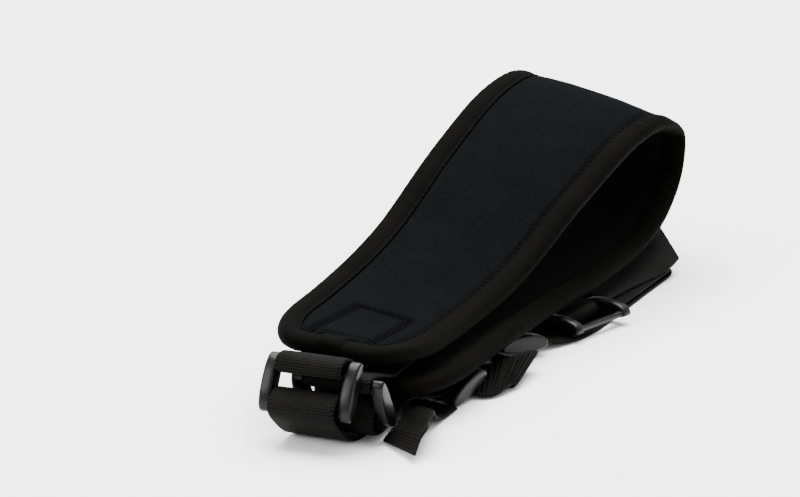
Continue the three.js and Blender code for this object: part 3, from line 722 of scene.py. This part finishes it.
def turn_matrix(heading, tilt, pitch):
    """Turns a slider: pitch about its bars, then tilt, then heading about the upright."""
    h, t, p = np.radians([heading, -tilt, pitch])
    about_x = np.array([[1, 0, 0], [0, np.cos(p), -np.sin(p)], [0, np.sin(p), np.cos(p)]])
    about_y = np.array([[np.cos(t), 0, np.sin(t)], [0, 1, 0], [-np.sin(t), 0, np.cos(t)]])
    about_z = np.array([[np.cos(h), -np.sin(h), 0], [np.sin(h), np.cos(h), 0], [0, 0, 1]])
    return about_z @ about_y @ about_x


slider_mesh = joined(slider_parts(), "slider_moulding")
slider_shape = np.array([v.co for v in slider_mesh.vertices])
sliders = {}
for name, (x, y, z, heading, tilt, pitch) in SLIDERS.items():
    mesh = slider_mesh.copy()
    placed = slider_shape @ turn_matrix(heading, tilt, pitch).T + np.array([x, y, z])
    mesh.vertices.foreach_set("co", ((placed + TABLE_SHIFT) * MM).ravel())
    store = mesh.attributes.new("mould", "FLOAT_VECTOR", "POINT")
    store.data.foreach_set("vector", (slider_shape * MM).ravel())
    mesh.shade_smooth()
    sharpen(mesh, SLIDER["sharp_angle"])
    sliders[name] = new_object(f"{name}_moulding", mesh)
print(f"slider: {triangles(sliders['slider_1'])} triangles, {len(sliders)} copies")

# %% [markdown]
# ## Node expressions
# A material is easier to read as a sum than as a web of nodes. Wire wraps a socket, so that plain
# Python operators add the Math nodes, and every other node comes from one method. Materials and
# Geometry Nodes trees share it.

# %% Wires and nodes
class Wire:
    """A node's output that can be used in arithmetic."""

    def __init__(self, net, socket):
        self.net = net
        self.socket = socket

    def __add__(self, other):
        return self.net.math("ADD", self, other)

    def __sub__(self, other):
        return self.net.math("SUBTRACT", self, other)

    def __mul__(self, other):
        return self.net.math("MULTIPLY", self, other)

    def __truediv__(self, other):
        return self.net.math("DIVIDE", self, other)

    def __rsub__(self, other):
        return self.net.math("SUBTRACT", other, self)

    def __rtruediv__(self, other):
        return self.net.math("DIVIDE", other, self)

    __radd__ = __add__
    __rmul__ = __mul__

    def sine(self):
        return self.net.math("SINE", self)

    def size(self):
        return self.net.math("ABSOLUTE", self)

    def ramp(self, low, high):
        return self.net.node("ShaderNodeMapRange", {"interpolation_type": "SMOOTHSTEP"},
                             {"Value": self, "From Min": low, "From Max": high})


class Net:
    """A node tree under construction."""

    def node(self, kind, settings=None, values=None, output=0):
        """Adds a node: its settings first, then its sockets' links or values by name or number."""
        made = self.tree.nodes.new(kind)
        for key, value in (settings or {}).items():
            setattr(made, key, value)
        for key, value in (values or {}).items():
            if isinstance(value, Wire):
                self.tree.links.new(value.socket, made.inputs[key])
            else:
                made.inputs[key].default_value = value
        return Wire(self, made.outputs[output])

    def math(self, operation, *values):
        return self.node("ShaderNodeMath", {"operation": operation}, dict(enumerate(values)))

    def give_out(self, wire, kind):
        """Links a wire to the tree's output node."""
        self.tree.links.new(wire.socket, self.tree.nodes.new(kind).inputs[0])


# %% Material recipes
class Recipe(Net):
    """A material under construction."""

    def __init__(self, name):
        self.material = bpy.data.materials.new(name)
        self.material.use_nodes = True
        self.tree = self.material.node_tree
        self.tree.nodes.clear()

    def uv_mm(self):
        """The weave's own two directions in millimetres: across the piece and along it."""
        uv = self.node("ShaderNodeUVMap", {"uv_map": "UVMap"})
        parts = [self.node("ShaderNodeSeparateXYZ", None, {0: uv}, k) for k in (0, 1)]
        return parts[0] * 1000, parts[1] * 1000

    def noise(self, scale, detail=2.0, vector=None):
        """Even noise from 0 to 1; scale is in cells per metre."""
        place = vector or self.node("ShaderNodeTexCoord", output=3)
        return self.node("ShaderNodeTexNoise", None,
                         {"Vector": place, "Scale": scale, "Detail": detail})

    def tint(self, factor, low, high):
        """A colour between two, by factor."""
        return self.node("ShaderNodeMix", {"data_type": "RGBA"},
                         {0: factor, 6: (*low, 1), 7: (*high, 1)}, 2)

    def finish(self, color, roughness, height=None, distance=None, **fixed):
        """The surface. height is a relief and distance its depth in metres."""
        values = {"Base Color": color, "Roughness": roughness}
        if height is not None:
            values["Normal"] = self.node("ShaderNodeBump", None,
                                         {"Distance": distance, "Height": height})
        for key, value in fixed.items():
            values[key.replace("_", " ")] = value
        shader = self.node("ShaderNodeBsdfPrincipled", None, values)
        self.give_out(shader, "ShaderNodeOutputMaterial")
        return self.material


# %% [markdown]
# ## Pad cloth
# The pad's faces are a fine knitted cloth, nearly black with a cool cast. A close grid of small
# loops gives it a matt, slightly downy look, and slow mottling keeps it from looking printed. A
# picture of cloth could do this. Sine waves on the UV map stay sharp and follow the fold. Along the
# stitched box the colour is darkened as painted shade in the groove.

# %% Pad cloth
TURN = 2 * math.pi   # divided by a pitch in millimetres, it makes one wave for each thread


def pad_cloth():
    r = Recipe("pad_cloth")
    across, along = r.uv_mm()
    loop_turn = TURN / 0.85
    wales = (across * loop_turn).sine()
    courses = (along * (loop_turn * 1.25) + wales * 0.6).sine()
    knit = (wales * courses) * 0.5 + 0.5
    fibre = r.noise(2600, 3)
    slub = r.noise(650, 3)
    mottle = r.noise(70, 3)
    height = knit * 0.6 + fibre * 0.5 + slub * 0.4
    shade = (knit * 0.25 + fibre * 0.3 + slub * 0.45 + mottle * 0.3).ramp(0.2, 1.1)
    # Painted shade: the cloth's colour is darkened along the stitched box's groove, where shade
    # falls in the recess.
    groove = r.node("ShaderNodeAttribute", {"attribute_name": "groove"}, output=2)
    shade = shade * (1 - groove * 0.95)
    color = r.tint(shade, (0.0003, 0.0003, 0.0004), (0.0038, 0.0040, 0.0047))
    return r.finish(color, mottle * 0.08 + 0.86, height, 0.00022,
                    Sheen_Weight=0.004, Sheen_Roughness=0.5, Specular_IOR_Level=0.01)


# %% [markdown]
# ## Edge tape
# The tape is a smooth folded binding, a warmer black than the pad. Fine cords run along it, and
# slow patches of wear keep it from looking new.

# %% Edge tape
def tape_cloth():
    r = Recipe("edge_tape")
    round_it, along = r.uv_mm()
    cords = (round_it * (TURN / 0.55)).sine() * 0.5 + 0.5
    picks = (along * (TURN / 0.8) + cords * 2.0).sine() * 0.5 + 0.5
    fibre = r.noise(1800, 3)
    patchy = r.noise(55, 3)
    height = cords * 0.5 + picks * 0.35 + fibre * 0.5
    shade = (cords * 0.2 + picks * 0.15 + fibre * 0.35 + patchy * 0.6).ramp(0.35, 1.0)
    color = r.tint(shade, (0.0005, 0.0005, 0.0004), (0.0017, 0.0016, 0.0013))
    return r.finish(color, fibre * 0.12 + 0.66, height, 0.00009,
                    Sheen_Weight=0.003, Sheen_Roughness=0.4, Specular_IOR_Level=0.012)


# %% [markdown]
# ## Webbing
# Nylon webbing has close ribs across it, each a row of small floats, and a firmer selvedge down
# each side. The ribs catch the light as faint lines, and the yarn has a soft, brownish shine.

# %% Webbing
def webbing_cloth():
    r = Recipe("webbing")
    across, along = r.uv_mm()
    rib = (along * (TURN / 0.78)).sine() * 0.5 + 0.5
    sway = (along * (TURN / 1.56)).sine() * 1.2
    ends = (across * (TURN / 1.05) + sway).sine() * 0.5 + 0.5
    selvedge = across.size().ramp(10.9, 11.5)
    edge_yarn = (along * (TURN / 1.3) + across * 2.2).sine() * 0.5 + 0.5
    body = rib * 0.75 + ends * 0.4
    weave = body * (1 - selvedge) + edge_yarn * selvedge
    fibre = r.noise(2200, 3)
    wear = r.noise(90, 3)
    shade = (weave * 0.45 + fibre * 0.3 + wear * 0.4).ramp(0.25, 1.0)
    color = r.tint(shade, (0.0003, 0.0003, 0.0003), (0.0078, 0.0074, 0.0070))
    return r.finish(color, fibre * 0.15 + 0.5, weave + fibre * 0.25, 0.00013,
                    Sheen_Weight=0.004, Sheen_Roughness=0.35, Specular_IOR_Level=0.02)


# %% [markdown]
# ## Slider plastic and thread
# The sliders are satin black plastic, very slightly grained by the mould and scuffed by use. The
# thread is a waxed black polyester, a little shinier than the tape. The grain reads a place kept
# on each moulding, so that it turns with the slider.

# %% Plastic and thread
def slider_plastic():
    r = Recipe("slider_plastic")
    place = r.node("ShaderNodeAttribute", {"attribute_name": "mould"}, output=1)
    grain = r.noise(1500, 2, place)
    scuff = r.noise(160, 4, place)
    shade = (grain * 0.4 + scuff * 0.7).ramp(0.35, 0.85)
    color = r.tint(shade, (0.0012, 0.0012, 0.0013), (0.0030, 0.0030, 0.0032))
    return r.finish(color, scuff.ramp(0.3, 0.75) * 0.14 + 0.26, grain, 0.00002,
                    Coat_Weight=0.03, Coat_Roughness=0.15, Specular_IOR_Level=0.14)


def thread_yarn():
    r = Recipe("thread")
    twist = r.noise(3500, 2)
    color = r.tint(twist, (0.0002, 0.0002, 0.0002), (0.0012, 0.0012, 0.0011))
    return r.finish(color, 0.6, twist, 0.00004, Specular_IOR_Level=0.02)


PAD_CLOTH, TAPE_CLOTH, WEBBING = pad_cloth(), tape_cloth(), webbing_cloth()
PLASTIC, THREAD = slider_plastic(), thread_yarn()
print("materials:", ", ".join(m.name for m in (PAD_CLOTH, TAPE_CLOTH, WEBBING, PLASTIC, THREAD)))

# %% [markdown]
# ## Stitches
# Stitches repeat along a seam. Copies could be laid by hand, but a small node tree can lay them
# again at another spacing: it walks the seam and sets one slim grain of thread at each step.

# %% Trees with named inputs
class Tree(Net):
    """A Geometry Nodes tree: a shape, named sizes and a material go in, a shape comes out."""

    def __init__(self, name, *sizes):
        self.tree = bpy.data.node_groups.new(name, "GeometryNodeTree")
        kinds = {"Geometry": "Geometry", **dict.fromkeys(sizes, "Float"), "Material": "Material"}
        socket = self.tree.interface.new_socket
        self.identifiers = {
            label: socket(label, in_out="INPUT", socket_type=f"NodeSocket{kind}").identifier
            for label, kind in kinds.items()}
        socket("Geometry", in_out="OUTPUT", socket_type="NodeSocketGeometry")
        given = self.tree.nodes.new("NodeGroupInput").outputs
        self.given = {label: Wire(self, given[label]) for label in kinds}

    def close(self, shape):
        """Makes the instances real, sets the material and gives the result out."""
        real = self.node("GeometryNodeRealizeInstances", None, {"Geometry": shape})
        dyed = self.node("GeometryNodeSetMaterial", None,
                         {"Geometry": real, "Material": self.given["Material"]})
        self.give_out(dyed, "NodeGroupOutput")
        return self

    def made_on(self, piece, **values):
        """The plain mesh that the tree makes of a piece, with values for its inputs."""
        modifier = piece.modifiers.new(self.tree.name, "NODES")
        modifier.node_group = self.tree
        for label, value in values.items():
            modifier[self.identifiers[label]] = value
        mesh = plain_mesh(piece)
        piece.modifiers.clear()
        return mesh


# %% The stitch tree
def stitch_tree():
    tree = Tree("stitch_line", "Spacing", "Length", "Thickness")
    given = tree.given
    line = tree.node("GeometryNodeMeshToCurve", None, {"Mesh": given["Geometry"]})
    steps = tree.node("GeometryNodeResampleCurve", {"mode": "LENGTH"},
                      {"Curve": line, "Length": given["Spacing"]})
    ball = tree.node("GeometryNodeMeshUVSphere", None, {"Segments": 6, "Rings": 5, "Radius": 0.5})
    grain = tree.node("GeometryNodeSetShadeSmooth", None, {"Geometry": ball})
    size = tree.node("ShaderNodeCombineXYZ", None,
                     {"X": given["Length"], "Y": given["Thickness"], "Z": given["Thickness"]})
    way = tree.node("GeometryNodeInputTangent")
    turn = tree.node("FunctionNodeAlignRotationToVector", {"axis": "X"}, {"Vector": way})
    laid = tree.node("GeometryNodeInstanceOnPoints", None,
                     {"Points": steps, "Instance": grain, "Rotation": turn, "Scale": size})
    return tree.close(laid)


STITCHES = stitch_tree()


def stitched(name, lines, spacing=3.4, length=2.5, thickness=0.7):
    """Stitches along lines of drawing places, as one plain mesh. Sizes are in millimetres."""
    vertices, edges = [], []
    for line in lines:
        first = len(vertices)
        vertices += list(line)
        edges += [(first + i, first + i + 1) for i in range(len(line) - 1)]
    holder = new_piece(name + "_line", vertices, [], edges=edges)
    piece = new_object(name, STITCHES.made_on(
        holder, Spacing=spacing * MM, Length=length * MM, Thickness=thickness * MM, Material=THREAD))
    bpy.data.objects.remove(holder)
    print(f"{name}: {triangles(piece)} triangles")
    return piece


# %% Seams of the tape, the stitched box and the tabs
BOX_STEPS = 24
TAPE_SEAM = {"inset": 8.9, "out": 2.62}
BOX_SEAM = 2.25
TAB_SEAM = PAD["half_thickness"] + CLEARANCE + WEB["thickness"]


def seam_line(inset, out):
    """The tape's seam, once round the pad."""
    along, across = loop_places(inset)
    line = bend(along, across, out)
    return np.vstack([line, line[:1]])


def box_line(out, reverse=False, margin=0.0):
    """The stitched box, on the pad's upper end or, reversed, on its lower end."""
    low, high = STITCH_BOX["low"] + margin, STITCH_BOX["high"] - margin
    corners = []
    for place, side in ((low, -1), (high, -1), (high, 1), (low, 1), (low, -1)):
        box_middle, half_width = box_sides(place)
        corners.append((place, box_middle + side * (half_width - margin)))
    line = []
    for (a, b), (c, d) in zip(corners, corners[1:]):
        steps = np.linspace(0, 1, BOX_STEPS)[:-1]
        line += [(a + (c - a) * s, b + (d - b) * s) for s in steps]
    line = np.array(line + [corners[-1]])
    along = PAD["length"] - line[:, 0] if reverse else line[:, 0]
    return bend(along, line[:, 1], out)


tape_stitches = stitched("tape_stitches", [seam_line(TAPE_SEAM["inset"], side * TAPE_SEAM["out"])
                                           for side in (1, -1)])
box_stitches = stitched("box_stitches", [box_line(BOX_SEAM), box_line(-BOX_SEAM, reverse=True)],
                        spacing=3.2, length=2.6)
tab_stitches = stitched("tab_stitches", [box_line(-TAB_SEAM, margin=0.4)],
                        spacing=2.9, length=2.1, thickness=0.5)

# %% [markdown]
# ## Ribs on the slack webbing
# Where the webbing is bent back on itself its ribs open like a fan and stand up clearly. A node
# tree lifts the band's skin in even waves along its length, inside the selvedges. A bump in the
# material wouldn't change the outline.

# %% The rib tree
def rib_tree():
    tree = Tree("webbing_ribs", "Pitch", "Height")
    along, cover = (tree.node("GeometryNodeInputNamedAttribute", {"data_type": "FLOAT"},
                              {"Name": name}) for name in ("along", "cover"))
    wave = (along / tree.given["Pitch"] * TURN).sine()
    height = wave * tree.given["Height"] * cover
    outwards = tree.node("GeometryNodeInputNormal")
    lift = tree.node("ShaderNodeVectorMath", {"operation": "SCALE"},
                     {0: outwards, "Scale": height})
    return tree.close(tree.node("GeometryNodeSetPosition", None,
                                {"Geometry": tree.given["Geometry"], "Offset": lift}))


RIBS = rib_tree()
for name, pitch, height in (("strap_loop", 1.9, 0.42), ("strap_tail", 1.5, 0.12)):
    webs[name].data = RIBS.made_on(webs[name], Pitch=pitch, Height=height * MM, Material=WEBBING)
    print(f"{name}: ribs {pitch} mm apart")

# %% [markdown]
# ## Dress the frame
# Every piece rides on the one body and takes its material; where it stands for a solid, that solid
# is hidden.

# %% Materials, bodies and slots
def dress(piece, material, slot, *nodes):
    piece.data.materials.clear()
    piece.data.materials.append(material)
    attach(piece, "root")
    if nodes:
        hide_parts(*nodes)


dress(pad_cushion, PAD_CLOTH, "pad_cloth", "pad")
dress(edge_tape_binding, TAPE_CLOTH, "edge_tape", "pad_edge_tape")
for name, piece in webs.items():
    dress(piece, WEBBING, "webbing", name)
for name, piece in sliders.items():
    dress(piece, PLASTIC, "slider_plastic", name)
for piece in (tape_stitches, box_stitches, tab_stitches):
    dress(piece, THREAD, "edge_tape")

# %% [markdown]
# ## Table, light and camera
# A plain pale table, a wide soft light overhead, a second one low at the front left for the
# webbing, and a pale surround. The camera is a long lens looking down a little, from the front
# and slightly to the right.

# %% Table
TABLE_SIZE = 6   # metres
bpy.ops.mesh.primitive_plane_add(size=TABLE_SIZE)
table = bpy.context.object
table.name = "table_top"
paint = Recipe("table_white").finish((0.93, 0.93, 0.93, 1), 0.9, Specular_IOR_Level=0.1)
table.data.materials.append(paint)

# %% Lights
SURROUND = 1.3   # the pale surround's strength


def soft_light(name, place, aim, size, power):
    """A round soft light. place, aim and size are in metres, power in watts."""
    data = bpy.data.lights.new(name, "AREA")
    data.shape = "DISK"
    data.size = size
    data.energy = power
    light = new_object(name, data)
    light.location = place
    way = Vector(np.array(aim) - np.array(place))
    light.rotation_euler = way.to_track_quat("-Z", "Y").to_euler()


soft_light("overhead", place=(-0.2, 0.5, 1.9), aim=(0, 0.1, 0), size=2.4, power=190)
soft_light("front_left", place=(-0.9, -1.3, 0.9), aim=(0, 0, 0.03), size=0.8, power=22)
world = bpy.data.worlds.new("surround")
world.use_nodes = True
background = world.node_tree.nodes["Background"]
background.inputs["Color"].default_value = (1, 1, 1, 1)
background.inputs["Strength"].default_value = SURROUND
bpy.context.scene.world = world

# %% Camera
# The distance and the target are in the tables' millimetres, and the angles in degrees.
CAMERA = {"azimuth": 24.1, "elevation": 15.7, "distance": 1384.5,
          "target": (-74.9, 217.8, 0.0), "lens": 151.1, "sensor": 36, "near": 0.01, "far": 20}
azimuth, elevation = np.radians([CAMERA["azimuth"], CAMERA["elevation"]])
back = np.array([np.sin(azimuth) * np.cos(elevation), -np.cos(azimuth) * np.cos(elevation),
                 np.sin(elevation)])
target = (np.array(CAMERA["target"]) + TABLE_SHIFT) * MM
camera_data = bpy.data.cameras.new("camera")
camera_data.lens = CAMERA["lens"]
camera_data.sensor_width = CAMERA["sensor"]
camera_data.clip_start = CAMERA["near"]
camera_data.clip_end = CAMERA["far"]
camera = new_object("camera", camera_data)
camera.location = target + back * CAMERA["distance"] * MM
camera.rotation_euler = (math.pi / 2 - elevation, 0, azimuth)
bpy.context.scene.camera = camera
